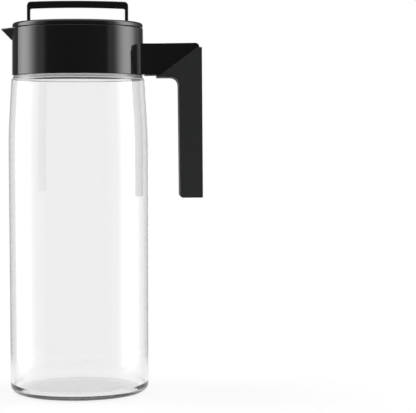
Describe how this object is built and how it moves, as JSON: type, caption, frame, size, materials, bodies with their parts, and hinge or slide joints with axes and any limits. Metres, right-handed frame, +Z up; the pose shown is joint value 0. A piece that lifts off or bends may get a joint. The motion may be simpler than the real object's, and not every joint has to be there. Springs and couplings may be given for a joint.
{
  "type": "pitcher",
  "caption": "Tall clear fridge pitcher with a black spout-and-handle collar, a turning pour and strain lid and a folding bail.",
  "frame": {"origin": "centre of the jar's flat underside, on the resting plane", "axes": "+Z up along the jar's axis, +X towards the handle, -X towards the spout, -Y towards the camera of the picture"},
  "size_m": [0.1496, 0.1042, 0.293],
  "materials": {
    "clear_plastic": "clear, polished",
    "gloss_black": "smooth gloss",
    "soft_grey": "soft-touch matte",
    "silicone": "matte"
  },
  "bodies": {
    "pitcher": {"jar": "clear_plastic", "neck_gasket": "silicone", "handle_collar": "gloss_black", "grip_sleeve": "soft_grey"},
    "lid_seals": {"lower_seal": "silicone", "upper_seal": "silicone"},
    "lid": {"lid_plug": "gloss_black", "lid_cap": "gloss_black"},
    "bail": {"bail": "gloss_black"}
  },
  "joints": [
    {"name": "lid_lift", "type": "slide", "parent": "pitcher", "child": "lid_seals", "axis": [0, 0, 1], "range_m": [0, 0.07]},
    {"name": "lid_turn", "type": "hinge", "parent": "lid_seals", "child": "lid", "pos_m": [0, 0, 0.2716], "axis": [0, 0, 1], "range_deg": [-90, 90]},
    {"name": "bail_fold", "type": "hinge", "parent": "lid", "child": "bail", "pos_m": [0, 0, 0.27432], "axis": [1, 0, 0], "range_deg": [-90, 90]}
  ]
}
